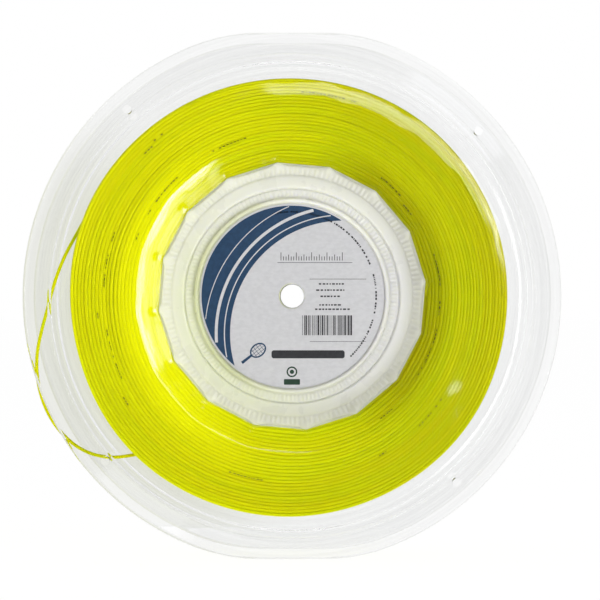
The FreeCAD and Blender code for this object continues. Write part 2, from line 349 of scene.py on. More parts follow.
def fillet(points, radii, segs=4, support=0.22):
    """Closed (r, y) polygon with rounded corners, and a support point either side of each."""
    pts = [np.array(p, float) for p in points]
    n = len(pts)
    res = []
    for i in range(n):
        p0, p, p1 = pts[i - 1], pts[i], pts[(i + 1) % n]
        a, b = p0 - p, p1 - p
        la, lb = np.linalg.norm(a), np.linalg.norm(b)
        a, b = a / la, b / lb
        ang = np.arccos(np.clip(a @ b, -1, 1))
        rad = radii[i]
        if rad <= 0 or ang > pi - 0.01:
            res.append(p)
            continue
        cut = min(rad / tan(ang / 2), 0.42 * la, 0.42 * lb)
        rad = cut * tan(ang / 2)
        bis = (a + b) / np.linalg.norm(a + b)
        c = p + bis * (rad / sin(ang / 2))
        ta, tb = p + a * cut, p + b * cut
        if la * 0.5 - cut > support * 1.5:
            res.append(ta + a * support)
        va, vb = ta - c, tb - c
        sweep = np.arccos(np.clip(va @ vb / rad ** 2, -1, 1))
        for k in range(segs + 1):
            t = k / segs
            v = (va * sin((1 - t) * sweep) + vb * sin(t * sweep)) / sin(sweep)
            res.append(c + v)
        if lb * 0.5 - cut > support * 1.5:
            res.append(tb + b * support)
    return np.array(res)


def signed_volume(verts, faces):
    v = np.asarray(verts, float)
    f = np.asarray(faces)
    a, b, c, d = v[f[:, 0]], v[f[:, 1]], v[f[:, 2]], v[f[:, 3]]
    return (np.einsum("ij,ij->i", a, np.cross(b, c)) + np.einsum("ij,ij->i", a, np.cross(c, d))).sum() / 6


def outward(verts, faces):
    return faces if signed_volume(verts, faces) > 0 else faces[:, ::-1]


# -------------------------------------------------------------- the cord ----
TAIL = [
    (-79.0, -5.0, 27.4), (-82.4, -5.0, 21.4), (-85.7, -5.2, 15.2), (-88.4, -5.4, 8.6),
    (-90.6, -5.6, 1.5), (-92.6, -5.7, -6.0), (-94.6, -5.7, -13.4), (-96.2, -5.6, -20.9),
    (-96.4, -5.4, -28.5), (-95.2, -5.2, -36.0), (-92.7, -5.0, -43.2), (-88.7, -4.9, -49.8),
    (-83.4, -4.9, -55.4), (-77.0, -5.0, -59.3), (-70.2, -5.2, -60.9), (-63.8, -5.4, -60.7),
    (-57.6, -5.6, -59.5),
]
STRING_D = 1.3
tail_curve = bpy.data.curves.new("loose_string", "CURVE")
tail_curve.dimensions = "3D"
tail_spline = tail_curve.splines.new("NURBS")
tail_spline.points.add(len(TAIL) - 1)
for point, (x, y, z) in zip(tail_spline.points, TAIL):
    point.co = (x * MM, y * MM, z * MM, 1.0)
tail_spline.order_u = 3
tail_spline.use_endpoint_u = True
tail_spline.resolution_u = 12
tail_curve.bevel_depth = STRING_D / 2 * MM
tail_curve.bevel_resolution = 4
tail_curve.use_fill_caps = True
tail_curve.materials.append(M_LOOSE)
tail = bpy.data.objects.new("loose_string", tail_curve)
scene.collection.objects.link(tail)
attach(tail, "root")
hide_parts("string_tail")

# --------------------------------------------------------------- flanges ----
RIM_R, RIM_FLAT, BLEND_R, STEP_R = 100.0, 97.7, 70.0, 90.0


def rim_radius(deg):
    off = radians(abs(abs((deg + 180.0) % 360.0 - 180.0) - 90.0))
    z0 = RIM_FLAT - BLEND_R
    x0 = sqrt((RIM_R - RIM_FLAT) * (RIM_R + RIM_FLAT - 2 * BLEND_R))
    if tan(off) * RIM_FLAT <= x0:
        return RIM_FLAT / cos(off)
    if tan(off) * z0 <= x0:
        along = x0 * sin(off) + z0 * cos(off)
        return along + sqrt(along ** 2 - x0 ** 2 - z0 ** 2 + BLEND_R ** 2)
    return RIM_R


flange_profile = [
    (47.3, 13.6, 0.2), (49.5, 13.6, 0.0), (60.5, 15.6, 0.0), (75.0, 15.6, 0.0), (84.0, 15.6, 0.0), (90.0, 15.6, 0.32),
    (90.7, 16.5, 0.36), (98.6, 20.75, 1.2), (99.1, 21.0, 0.3), (99.6, 21.0, 0.35),
    (100.0, 20.6, 0.35), (100.0, 19.9, 0.3), (99.0, 19.4, 0.8), (91.5, 15.2, 0.8),
    (90.8, 14.2, 0.8), (84.0, 14.2, 0.0), (75.0, 14.2, 0.0), (60.5, 14.2, 0.0), (49.5, 12.2, 0.0), (47.3, 12.2, 0.2),
]


def ease(a):
    a = np.clip(a, 0, 1)
    return a * a * (3 - 2 * a)


COLLAR_R = [49.3, 51.0, 52.0, 53.0, 54.0, 55.0, 55.7, 56.3, 57.0, 58.0, 58.4, 58.8, 59.4, 60.5]
COLLAR_SLOPE = [0.30, 0.31, 0.315, 0.315, 0.312, 0.305, 0.29, 0.262, 0.247, 0.234, 0.215, 0.03, 0.01, 0.0]
COLLAR_STEP = np.linspace(49.3, 60.5, 225)
COLLAR_RISE = np.concatenate([[0.0], np.cumsum(0.05 * np.interp(COLLAR_STEP[:-1] + 0.025, COLLAR_R, COLLAR_SLOPE))])
COLLAR_RISE *= 2.75 / COLLAR_RISE[-1]


def collar(r, th):
    """The sunk collar rises just over 2 mm to the disc; close to the hub it follows the hub's sixteen sides."""
    side = (th - radians(6.3)) % (2 * pi / 16) - pi / 16
    corner = ease((np.abs(side) / (pi / 16) - 0.25) / 0.75)  # 0 in the middle of a side, 1 at a corner
    near = np.clip((60.5 - r) / 10.5, 0, 1)
    away = (pi / 16 - np.abs(side)) * r
    dimple = 0.26 * np.exp(-(away / 1.3) ** 2 - ((r - 52.4) / 1.25) ** 2)
    return np.interp(r - 1.2 * corner * near, COLLAR_STEP, COLLAR_RISE) - 0.75 - dimple


def bump_at(x, z, cx, cz, deg, long, wide, height):
    u = (x - cx) * cos(radians(deg)) + (z - cz) * sin(radians(deg))
    w = -(x - cx) * sin(radians(deg)) + (z - cz) * cos(radians(deg))
    return height * np.exp(-(u / long) ** 2 - (w / wide) ** 2)


def facet_at(x, z, cx, cz, deg, long, wide, amount):
    """A small tilted flat spot."""
    u = (x - cx) * cos(radians(deg)) + (z - cz) * sin(radians(deg))
    w = -(x - cx) * sin(radians(deg)) + (z - cz) * cos(radians(deg))
    return amount * (w / wide) * np.exp(-(u / long) ** 4 - (w / wide) ** 4)


def flange_lean(r, th):
    """How far the wound string has pushed a flange out of flat: it leans out to the edge of the winding, then rolls back."""
    deg = (np.degrees(th) + 180.0) % 360.0 - 180.0
    most = 0.05 + 0.34 * np.exp(-((deg - 48.0) / 56.0) ** 4)
    roll = 74.7 + 1.9 * ease((64.0 - deg) / 42.0) + 0.35 * np.sin(np.radians(deg) * 23) + 0.2 * np.sin(np.radians(deg) * 41 + 1)
    lean = most * ease((r - 60.0) / (roll - 60.0)) * (1 - ease((r - roll) / 5.7))
    ripple = 0.026 * np.sin(5 * th + 0.11 * r) + 0.010 * np.sin(13 * th - 0.23 * r + 1.3) + 0.004 * np.sin(29 * th + 0.37 * r)
    window = np.clip((r - 54) / 8, 0, 1) * np.clip((88 - r) / 8, 0, 1)
    x, z = r * np.cos(th), r * np.sin(th)
    dents = facet_at(x, z, 60.6, -34.6, 56, 6.6, 6.4, 0.66) + facet_at(x, z, 62.4, -43.0, 60, 4.2, 3.4, 0.34)
    return lean + ripple * window + dents


def make_flange(name, front, seg=420):
    prof = fillet([p[:2] for p in flange_profile], [p[2] for p in flange_profile], 5)
    fine = []
    for i in range(len(prof)):
        a, b = prof[i], prof[(i + 1) % len(prof)]
        fine.append(a)
        gap = abs(b[0] - a[0])
        if gap > 1.2:
            k = int(gap / (0.40 if min(a[0], b[0]) < 60.4 else 0.95)) + 1
            fine += [a + (b - a) * j / k for j in range(1, k)]
    prof = np.array(fine)
    th = np.arange(seg) * 2 * pi / seg
    rim = np.array([rim_radius(np.degrees(t)) for t in th])
    r = np.repeat(prof[None, :, 0], seg, 0)
    ths = th[:, None] + 0 * r
    lean = flange_lean(r, ths)
    level = np.repeat(prof[None, :, 1], seg, 0)
    # inside 60.5 mm the two faces take the collar's curve instead of the straight run between its ends
    outer_face = (prof[:, 0] < 60.6) & (prof[:, 1] > 13.55) & (prof[:, 1] < 15.7)
    order = np.arange(len(prof))
    top = outer_face & (order < len(prof) / 2)
    under = (prof[:, 0] < 60.6) & (order > len(prof) / 2) & (prof[:, 0] > 47.6)
    rise = collar(r, ths)
    level = np.where(top[None], 13.6 + rise, level)
    level = np.where(under[None], 12.2 + rise, level)
    level = np.where((prof[None, :, 0] < 49.4) & (level > 12.9), np.minimum(level, 12.85), level)
    far = r > STEP_R
    squeezed = STEP_R + (r - STEP_R) * (rim[:, None] - STEP_R) / (RIM_R - STEP_R)
    r = np.where(far, squeezed, r)
    y = level + lean
    s = -1.0 if front else 1.0
    v = np.stack([r * np.cos(th)[:, None], s * y, r * np.sin(th)[:, None]], -1).reshape(-1, 3)
    v[:, 2] = np.clip(v[:, 2], -97.67, 97.67)
    f = outward(v, grid_faces(seg, len(prof)))
    ob = mesh_object(name, v * MM, f, M_CLEAR)
    # thread-end holes
    cut = []
    for k in range(4):
        a = radians(41.5 + 90 * k)
        ring = []
        bm = bmesh.new()
        bmesh.ops.create_cone(bm, cap_ends=True, segments=28, radius1=1.6 * MM, radius2=1.6 * MM, depth=14 * MM)
        me = bpy.data.meshes.new("cut")
        bm.to_mesh(me)
        bm.free()
        c = bpy.data.objects.new("cut", me)
        c.rotation_euler = (pi / 2, 0, 0)
        c.location = (92.8 * MM * cos(a), s * 17.5 * MM, 92.8 * MM * sin(a))
        scene.collection.objects.link(c)
        mod = ob.modifiers.new("hole", "BOOLEAN")
        mod.operation = "DIFFERENCE"
        mod.solver = "EXACT"
        mod.object = c
        cut.append(c)
    bpy.context.view_layer.update()
    deps = bpy.context.evaluated_depsgraph_get()
    made = bpy.data.meshes.new_from_object(ob.evaluated_get(deps))
    ob.modifiers.clear()
    ob.data = made
    for c in cut:
        bpy.data.objects.remove(c)
    made.polygons.foreach_set("use_smooth", np.ones(len(made.polygons), dtype=bool))
    made.set_sharp_from_angle(angle=radians(38))
    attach(ob, "root")
    return ob


front_flange = make_flange("front_flange_clear", True)
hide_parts("front_flange")
rear_flange = make_flange("rear_flange_clear", False)
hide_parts("rear_flange")

# -------------------------------------------------------------- hub caps ----
DRUM_PHASE = radians(6.3)
SIDES = 16


def polygon_radius(th, corner, phase=DRUM_PHASE, n=SIDES):
    """Radius of a regular polygon with this corner radius at the angle th."""
    a = 2 * pi / n
    d = (th - phase) % a - a / 2
    return corner * cos(a / 2) / np.cos(d)


# (radius, height from the middle plane, rib depth, how far the 16 sides pull it in)
cap_profile = [
    (45.6, 7.0, 0, 0), (47.0, 7.0, 0, 0), (47.0, 13.62, 0, 0), (48.9, 13.64, 0, 1), (49.0, 13.8, 0, 1), (49.0, 14.35, 0, 1),
    (48.9, 14.72, 0.04, 1), (48.65, 14.98, 0.12, 1), (48.25, 15.16, 0.20, .9), (47.9, 15.22, 0.23, .8), (47.4, 15.27, 0.25, .65), (46.8, 15.32, 0.27, .4),
    (46.0, 15.36, 0.27, .1), (45.5, 15.38, 0.24, 0), (45.2, 15.42, 0.12, 0), (45.05, 15.5, 0.0, 0), (44.9, 15.75, 0, 0), (44.7, 16.0, 0, 0),
    (44.2, 16.2, 0, 0), (43.2, 16.42, 0, 0), (42.0, 16.72, 0, 0), (41.1, 16.95, 0, 0), (40.7, 17.0, 0, 0),
    (40.42, 16.9, 0, 0), (40.2, 16.45, 0, 0), (39.95, 16.38, 0, 0), (39.75, 16.6, 0.0, 0), (39.6, 17.2, 0.12, 0), (39.3, 17.48, 0.19, 0),
    (38.5, 17.58, 0.21, 0), (37.6, 17.66, 0.20, 0), (36.95, 17.78, 0.12, 0), (36.65, 18.1, 0.0, 0), (36.5, 18.9, 0, 0), (36.3, 19.65, 0, 0),
    (35.98, 20.14, 0, 0), (35.6, 20.28, 0, 0), (35.25, 20.26, 0, 0), (34.98, 20.12, 0, 0), (34.85, 19.9, 0, 0), (34.75, 19.3, 0, 0),
    (34.6, 19.12, 0, 0), (34.3, 19.1, 0, 0), (20.0, 19.1, 0, 0), (5.0, 19.1, 0, 0), (4.6, 19.05, 0, 0), (4.5, 18.95, 0, 0), (4.5, 17.7, 0, 0),
    (6.3, 17.7, 0, 0), (6.3, 15.7, 0, 0), (7.8, 15.7, 0, 0), (7.8, 17.7, 0, 0), (33.4, 17.7, 0, 0), (35.2, 17.2, 0, 0), (38.2, 16.0, 0, 0),
    (40.2, 15.0, 0, 0), (44.0, 14.3, 0, 0), (45.4, 13.6, 0, 0),
]


def make_cap(name, front, per_rib=6, phase=0.0):
    seg = 160 * per_rib
    th = np.arange(seg) * 2 * pi / seg
    p = np.array(cap_profile, float)
    rib = 0.5 + 0.5 * np.cos(160 * (th + phase))
    edge = polygon_radius(th, 1.0) / cos(pi / SIDES)  # 1 on a flat's middle, more at a corner
    r = p[None, :, 0] + p[None, :, 3] * (-0.55 + 58.0 * (edge[:, None] - 1.0))
    # a rounded lug swells out of the rim at each of its sixteen corners
    away = (th - DRUM_PHASE + pi / SIDES) % (2 * pi / SIDES) - pi / SIDES
    lug = np.exp(-np.abs(away[:, None] * 48.4 / 1.9) ** 3) * np.exp(-np.abs((p[None, :, 0] - 48.3) / 1.5) ** 3)
    lug = lug * (p[None, :, 1] > 13.7) * (p[None, :, 1] < 15.4)
    y = p[None, :, 1] - p[None, :, 2] * (1 - rib[:, None]) * (1 - 0.9 * lug) + 0.34 * lug
    r = r + 0.55 * lug * (p[None, :, 0] > 48.2)
    s = -1.0 if front else 1.0
    v = np.stack([r * np.cos(th)[:, None], s * y, r * np.sin(th)[:, None]], -1).reshape(-1, 3)
    allf = outward(v, grid_faces(seg, len(p)))
    ob = mesh_object(name, v * MM, allf, M_MILKY, sharp_deg=50)
    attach(ob, "root")
    return ob


front_cap = make_cap("front_hub_cap_ribbed", True)
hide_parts("front_hub_cap")
rear_cap = make_cap("rear_hub_cap_ribbed", False, per_rib=4, phase=0.01)
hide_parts("rear_hub_cap")

for n in ("hub_drum", "axle_sleeve"):
    ob = nodes[n]
    if not ob.material_slots:
        ob.data.materials.append(M_MILKY)
    for sl in ob.material_slots:
        sl.material = M_MILKY

# --------------------------------------------------------------- winding ----
HALF = 14.0


def smooth_ring(table):
    """Periodic smooth curve through values at even angles, as a function of the angle."""
    c = np.fft.rfft(np.array(table, float)) / len(table)
    keep = min(len(c), 8)
    def f(th):
        th = np.asarray(th, float)
        v = np.full(th.shape, c[0].real)
        for k in range(1, keep):
            v += 2 * (c[k].real * np.cos(k * th) - c[k].imag * np.sin(k * th))
        return v
    return f


# outer radius of the winding at 0, 20, 40 ... 340 degrees from +X towards +Z
outer_radius = smooth_ring([80.8, 81.2, 81.5, 81.6, 81.6, 81.8, 82.5, 83.1, 83.8, 83.3, 83.4, 83.9, 83.7, 83.1, 82.6, 82.2, 82.0, 81.3])
R_IN = 50.35 + 0.65


def crown(y):
    t = np.clip((np.abs(y) - 8.5) / 5.5, 0, 1)
    return 0.5 * t ** 2


def dish(r):
    """How far the wound face lies below the flange's plane: it sinks towards the hub."""
    return np.interp(r, [50.3, 51.5, 53, 55, 57, 59, 61, 64, 67, 71, 76, 80, 82],
                     [2.55, 2.45, 2.20, 1.92, 1.65, 1.40, 1.20, 0.95, 0.70, 0.45, 0.18, 0.03, 0.0])


def waves(t, terms, seed):
    v = np.zeros_like(t)
    for k, (q, a) in enumerate(terms):
        v += a * np.sin(2 * pi * (q * t + ((seed * 0.618034 + k * 0.37) % 1.0)))
    return v


# places where two neighbouring turns stand apart: (radius, degrees from, degrees to, how far)
GAPS = [(64.9, -42, 46, 0.09), (70.6, -48, 38, 0.08), (68.6, 240, 274, 0.17), (62.4, 104, 122, 0.15), (73.4, 20, 60, 0.06),
        (76.2, 150, 205, 0.06), (66.4, 176, 232, 0.05), (59.8, 40, 92, 0.06), (73.0, 282, 318, 0.10), (60.4, 268, 312, 0.06)]


def part_turns(r, th):
    deg = np.degrees(th)
    push = np.zeros_like(r)
    for rg, lo, hi, amount in GAPS:
        off = (deg - lo) % 360.0
        span = hi - lo
        w = np.clip(np.minimum(off, span - off) / 9.0, 0, 1)
        w = w * w * (3 - 2 * w)
        near = (r - rg) / 1.9
        push += amount * w * np.tanh((r - rg) / 0.35) * np.exp(-near * near)
    return push


def edge_turn(t, turns):
    """1 in the last turns of a wound face, where the string lies round over the edge instead of pressed flat."""
    return ease((t / (turns - 1.0) - 0.92) / 0.06)


def face_path(turns, seed, row, per_turn=240, sgn=-1.0):
    """The string's way on one side of the winding: turn by turn outwards, stepping up a layer somewhere in each turn."""
    n = int(turns * per_turn) + 1
    t = np.arange(n) / per_turn
    th = 2 * pi * t
    step_at = 0.50 + 0.14 * np.sin(2 * pi * (0.021 * np.floor(t) + seed * 0.23))
    frac = np.clip((t - np.floor(t) - step_at + 0.30) / 0.60, 0, 1)
    layer = np.floor(t) + frac * frac * (3 - 2 * frac)
    f = np.clip(layer / (turns - 1.0), 0, 1)
    over = np.clip(layer - (turns - 1.0), 0, 1)
    hug = np.exp(-layer / 3.2)
    r_in = polygon_radius(th, 50.35) + 0.65
    base = R_IN - 0.3 + (81.8 - 0.65 - R_IN + 0.3) * f
    r = base + hug * (r_in - R_IN + 0.3) + f ** 1.5 * (outer_radius(th) - 81.8)
    w = waves(t, [(0.97, .09), (1.04, .08), (2.03, .06), (0.41, .08), (1.57, .05), (3.31, .03), (2.63, .03)], seed)
    r = r + w * np.clip(layer / 3, 0.15, 1) * np.clip((turns - 1 - layer) / 2, 0.2, 1)
    d = 0.05 + 0.035 * np.sin(2 * pi * (0.47 * t + 0.13 * seed) + 1.3 * waves(t, [(0.95, .8), (1.9, .5)], seed + 3))
    d = d + 0.035 * (1 + waves(t, [(1.21, .5), (2.77, .3), (0.31, .4)], seed + 7))
    if row:
        r = r + 0.5 * (30.5 / turns) * (1 - ease((f - 0.80) / 0.12)) - 0.35 * ease((f - 0.80) / 0.12)
        d = 0.55 * d + 0.42
    r = r + part_turns(r, th) - 0.35 * f ** 8
    y = HALF - 0.45 - np.clip(d, 0.0, 2.6) - dish(r) - 0.33 * edge_turn(t, turns) - 1.15 * over
    return t, th, r, sgn * y


def tube_from(t, th, r, y, rad=0.65, sides=8, wide=1.0, flat=1.0):
    n = len(t)
    flat = flat if np.ndim(flat) == 0 else np.asarray(flat)[:, None]
    ph = np.arange(sides) * 2 * pi / sides
    rr = r[:, None] + rad * wide * np.cos(ph)[None]
    yy = y[:, None] + rad * flat * np.sin(ph)[None]
    v = np.stack([rr * np.cos(th)[:, None], yy, rr * np.sin(th)[:, None]], -1).reshape(-1, 3)
    q = grid_faces(n, sides, wrap_n=False)
    q = q if signed_volume(v, q) > 0 else q[:, ::-1]
    return v, q


def tube_uv(t, sides, q, turns):
    """A strip per turn: u runs round the reel, v up through the turns."""
    i, j = q // sides, q % sides
    # the face's own lowest step and side decide its strip, so that no face straddles a seam
    i0 = i.min(1, keepdims=True)
    t0 = np.floor(t[i0] + 1e-9)
    u = np.clip(t[i] - t0, 0, 1)
    wrap = (j.max(1, keepdims=True) - j.min(1, keepdims=True)) > 1
    jj = np.where(wrap & (j == 0), sides, j)
    vv = (t0 + (jj + 0.25) / (sides + 0.5)) / turns
    return np.stack([u * 0.998 + 0.001, np.clip(vv, 0, 1)], -1)


def strand_object(name, path, sides, turns, mat=M_STRING, wide=1.0, flat=1.0):
    t, th, r, y = path
    v, q = tube_from(t, th, r, y, sides=sides, wide=wide, flat=flat)
    uv = tube_uv(t, sides, q, turns)
    caps = [list(range(sides)), list(range((len(t) - 1) * sides, len(t) * sides))]
    # caps face outwards along the string
    if (q[0] == np.array([0, sides, sides + 1, 1])).all():
        caps = [caps[0], caps[1][::-1]]
    else:
        caps = [caps[0][::-1], caps[1]]
    faces = q.tolist() + caps
    ob = mesh_object(name, v * MM, faces, mat)
    alluv = np.vstack([uv.reshape(-1, 2), np.full((2 * sides, 2), 0.0005)])
    add_uv(ob, alluv)
    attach(ob, "root")
    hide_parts("string_winding")
    return ob


TURNS = 26
front_path = face_path(TURNS, 1.0, 0)
strand_object("string_turns_front", front_path, 12, TURNS, wide=1.14, flat=0.29 + 0.55 * edge_turn(front_path[0], TURNS))
front_path2 = face_path(TURNS - 0.5, 2.3, 1, 160)
strand_object("string_turns_front_under", front_path2, 6, TURNS, flat=0.66)
strand_object("string_turns_rear", face_path(TURNS, 4.1, 0, 200, 1.0), 8, TURNS, wide=1.10, flat=0.40)
strand_object("string_turns_rear_under", face_path(TURNS - 0.5, 5.7, 1, 140, 1.0), 6, TURNS, flat=0.66)


def outer_path(seed, inset, turns=22, per_turn=240):
    n = int(turns * per_turn) + 1
    t = np.arange(n) / per_turn
    th = 2 * pi * t
    y = -13.3 + 26.6 * (t / turns)
    y = y + waves(t, [(0.97, .18), (2.04, .12), (1.43, .08), (0.37, .10)], seed)
    y = np.clip(y, -13.34, 13.34)
    r = outer_radius(th) - 0.65 - inset - crown(y) + waves(t, [(0.93, .10), (1.61, .08), (2.9, .05)], seed + 2)
    return t, th, r, y


strand_object("string_turns_outer", outer_path(3.0, 0.1), 8, 22)
strand_object("string_turns_outer_under", outer_path(6.0, 0.8, 21.5, 160), 6, 22)


def make_core():
    seg = 320
    th = np.arange(seg) * 2 * pi / seg
    inner = polygon_radius(th, 50.36)
    h = HALF - 0.95
    steps = [0, .03, .07, .12, .18, .25, .35, .5, .7, .9]
    prof = [(f, -h, 1) for f in steps] + [(.97, -h + 1.4, 0), (1, -h + 3.2, 0), (1, 0, 0), (1, h - 3.2, 0), (.97, h - 1.4, 0)]
    prof += [(f, h, 1) for f in steps[::-1]]
    out_r = outer_radius(th) - 1.5
    rows = []
    for f, y, face in prof:
        rr = inner + f * (out_r - inner)
        yy = np.full(seg, float(y))
        if face:
            yy = yy - np.sign(yy) * dish(rr)
        rows.append(np.stack([rr * np.cos(th), yy, rr * np.sin(th)], -1))
    v = np.stack(rows, 1).reshape(-1, 3)
    f = outward(v, grid_faces(seg, len(prof)))
    ob = mesh_object("string_core", v * MM, f, M_CORE, sharp_deg=60)
    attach(ob, "root")
    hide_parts("string_winding")
    return ob


make_core()

# ----------------------------------------------------------------- label ----
LABEL_Y = -19.35


def disc_label():
    seg = 256
    prof = np.array([(4.9, -19.1), (4.9, -19.3), (4.95, -19.35), (12.0, -19.35), (24.0, -19.35), (34.1, -19.35), (34.2, -19.33), (34.3, -19.28), (34.3, -19.1)])
    th = np.arange(seg) * 2 * pi / seg
    v = np.stack([prof[None, :, 0] * np.cos(th)[:, None], np.repeat(prof[None, :, 1], seg, 0),
                  prof[None, :, 0] * np.sin(th)[:, None]], -1).reshape(-1, 3)
    f = outward(v, grid_faces(seg, len(prof)))
    ob = mesh_object("label_disc", v * MM, f, M_PAPER, sharp_deg=40)
    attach(ob, "root")
    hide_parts("front_label")
    return ob


disc_label()


def strips_object(name, parts, y_front, y_back, mat, stands_for):
    """Closed slabs, each between two boundary lines given as lists of (x, z)."""
    verts, faces = [], []
    for A, B in parts:
        A, B = np.array(A, float), np.array(B, float)
        n = len(A)
        b0 = len(verts)
        for y in (y_front, y_back):
            for line in (A, B):
                verts += [(p[0], y, p[1]) for p in line]
        fa, fb, ra, rb = b0, b0 + n, b0 + 2 * n, b0 + 3 * n
        q = []
        for i in range(n - 1):
            q.append((fa + i, fa + i + 1, fb + i + 1, fb + i))
            q.append((ra + i, rb + i, rb + i + 1, ra + i + 1))
            q.append((fa + i, ra + i, ra + i + 1, fa + i + 1))
            q.append((fb + i, fb + i + 1, rb + i + 1, rb + i))
        q.append((fa, fb, rb, ra))
        e = n - 1
        q.append((fa + e, ra + e, rb + e, fb + e))
        q = np.array(q)
        if signed_volume(np.array(verts) - np.array(verts[b0]), q) < 0:
            q = q[:, ::-1]
        faces += q.tolist()
    ob = mesh_object(name, np.array(verts) * MM, faces, mat, smooth=False)
    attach(ob, "root")
    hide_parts(stands_for)
    return ob


def arc_line(cx, cz, r, d0, d1, n):
    return [(cx + r * cos(radians(d0 + (d1 - d0) * i / n)), cz + r * sin(radians(d0 + (d1 - d0) * i / n))) for i in range(n + 1)]


def arc_strip(cx, cz, r0, r1, d0, d1, n=48):
    return arc_line(cx, cz, r0, d0, d1, n), arc_line(cx, cz, r1, d0, d1, n)


def bar(x0, z0, x1, z1):
    return [(x0, z0), (x1, z0)], [(x0, z1), (x1, z1)]


def round_bar(x0, z0, x1, z1, rad):
    xs, lo, hi = [], [], []
    for k in range(9):
        a = pi / 2 * k / 8
        xs.append((x0 + rad - rad * cos(a), rad - rad * sin(a)))
    for k in range(8, -1, -1):
        a = pi / 2 * k / 8
        xs.append((x1 - rad + rad * cos(a), rad - rad * sin(a)))
    return [(x, z0 + c) for x, c in xs], [(x, z1 - c) for x, c in xs]


def label_print():
    rng = np.random.default_rng(7)
    top = LABEL_Y - 0.025
    # a crescent between the label's edge and a large circle, with fine rings let into it
    cx, cz, big = 19.0, -14.0, 42.0
    A, B = [], []
    for i in range(97):
        d = 56.8 + (230.4 - 56.8) * i / 96
        c, s_ = cos(radians(d)), sin(radians(d))
        # where the ray from the label's centre meets the large circle
        pb = c * cx + s_ * cz
        root = pb * pb - (cx * cx + cz * cz - big * big)
        inner = pb + sqrt(root)
        inner = min(max(inner, 6.0), 33.55)
        A.append((33.6 * c, 33.6 * s_))
        B.append((inner * c, inner * s_))
    keep = [i for i in range(97) if sqrt((A[i][0] - B[i][0]) ** 2 + (A[i][1] - B[i][1]) ** 2) > 0.12]
    strips_object("label_crescent", [([A[i] for i in keep], [B[i] for i in keep])], top, LABEL_Y + 0.02, M_NAVY, "front_label")
    rings = []
    for r0, r1 in ((43.9, 44.3), (46.6, 47.7), (51.2, 51.5)):
        run = [d for d in np.linspace(70, 220, 301)
               if (cx + r1 * cos(radians(d))) ** 2 + (cz + r1 * sin(radians(d))) ** 2 < 33.5 ** 2]
        rings.append(arc_strip(cx, cz, r0, r1, run[0], run[-1], 60))
    strips_object("label_crescent_rings", rings, top - 0.012, LABEL_Y + 0.02, M_PAPER, "front_label")
    fine = []
    # a plain scale with long and short marks, and the rule under it
    for k in range(25):
        tall = 3.0 if k % 6 == 0 else (2.2 if k % 3 == 0 else 1.5)
        fine.append(bar(-4.2 + k * 0.95, 13.2, -3.95 + k * 0.95, 13.2 + tall))
    fine.append(bar(-5.4, 12.3, 22.5, 12.48))
    fine.append(bar(6.6, 6.2, 27.6, 6.36))
    fine.append(bar(6.6, -17.0, 27.6, -16.86))
    # rows of short dashes
    for z, x0, x1 in ((4.2, 10.0, 18.6), (1.9, 9.0, 19.5), (-0.4, 10.6, 18.0), (-3.6, 10.2, 18.0), (-5.2, 8.6, 21.0)):
        x = x0
        while x < x1:
            w = 0.45 + 0.75 * rng.random()
            fine.append(bar(x, z, x + w, z + 0.55))
            x += w + 0.32 + 0.2 * rng.random()
    # upright bars of mixed widths
    x = 3.8
    while x < 22.6:
        w = 0.16 + 0.5 * rng.random() ** 2
        fine.append(bar(x, -14.6, x + w, -7.2))
        x += w + 0.18 + 0.42 * rng.random() ** 2
    # dashes that follow the label's edge
    for lo, hi in ((-46.0, -17.0), (-12.0, 15.0), (22.0, 104.0)):
        d = lo
        while d < hi:
            w = 0.5 + 1.3 * rng.random()
            fine.append(arc_strip(0, 0, 31.0, 31.62, d, d + w, 2))
            d += w + 0.55 + 1.1 * (rng.random() < 0.2)
    fine.append(round_bar(-7.6, -23.2, 19.6, -20.2, 0.9))
    strips_object("label_fine_print", fine, top, LABEL_Y + 0.02, M_DARK, "front_label")
    # a small racket: an oval frame, crossed strings and a grip
    head, hx, hz, tilt = [], -12.6, -20.2, radians(38)
    def spot(u, w):
        return (hx + u * cos(tilt) - w * sin(tilt), hz + u * sin(tilt) + w * cos(tilt))
    n = 40
    head.append(([spot(3.3 * cos(2 * pi * i / n), 2.5 * sin(2 * pi * i / n)) for i in range(n)] + [spot(3.3, -0.001)],
                 [spot(2.75 * cos(2 * pi * i / n), 1.95 * sin(2 * pi * i / n)) for i in range(n)] + [spot(2.75, -0.001)]))
    for k in (-1.8, -0.6, 0.6, 1.8):
        w = 1.95 * sqrt(1 - (k / 2.75) ** 2)
        head.append(([spot(k - 0.08, -w), spot(k + 0.08, -w)], [spot(k - 0.08, w), spot(k + 0.08, w)]))
    for k in (-1.0, 0.0, 1.0):
        u = 2.75 * sqrt(1 - (k / 1.95) ** 2)
        head.append(([spot(-u, k - 0.08), spot(u, k - 0.08)], [spot(-u, k + 0.08), spot(u, k + 0.08)]))
    head.append(([spot(-7.6, -0.55), spot(-3.2, -0.42)], [spot(-7.6, 0.55), spot(-3.2, 0.42)]))
    strips_object("label_racket_mark", head, top, LABEL_Y + 0.02, M_NAVY, "front_label")
    green = [round_bar(-3.0, -33.0, 3.0, -30.9, 0.35), arc_strip(0, -28.2, 1.45, 2.0, 0, 359.9, 40), arc_strip(0, -28.2, 0.02, 0.8, 0, 359.9, 24)]
    strips_object("label_green_mark", green, top, LABEL_Y + 0.02, M_GREEN, "front_label")


label_print()


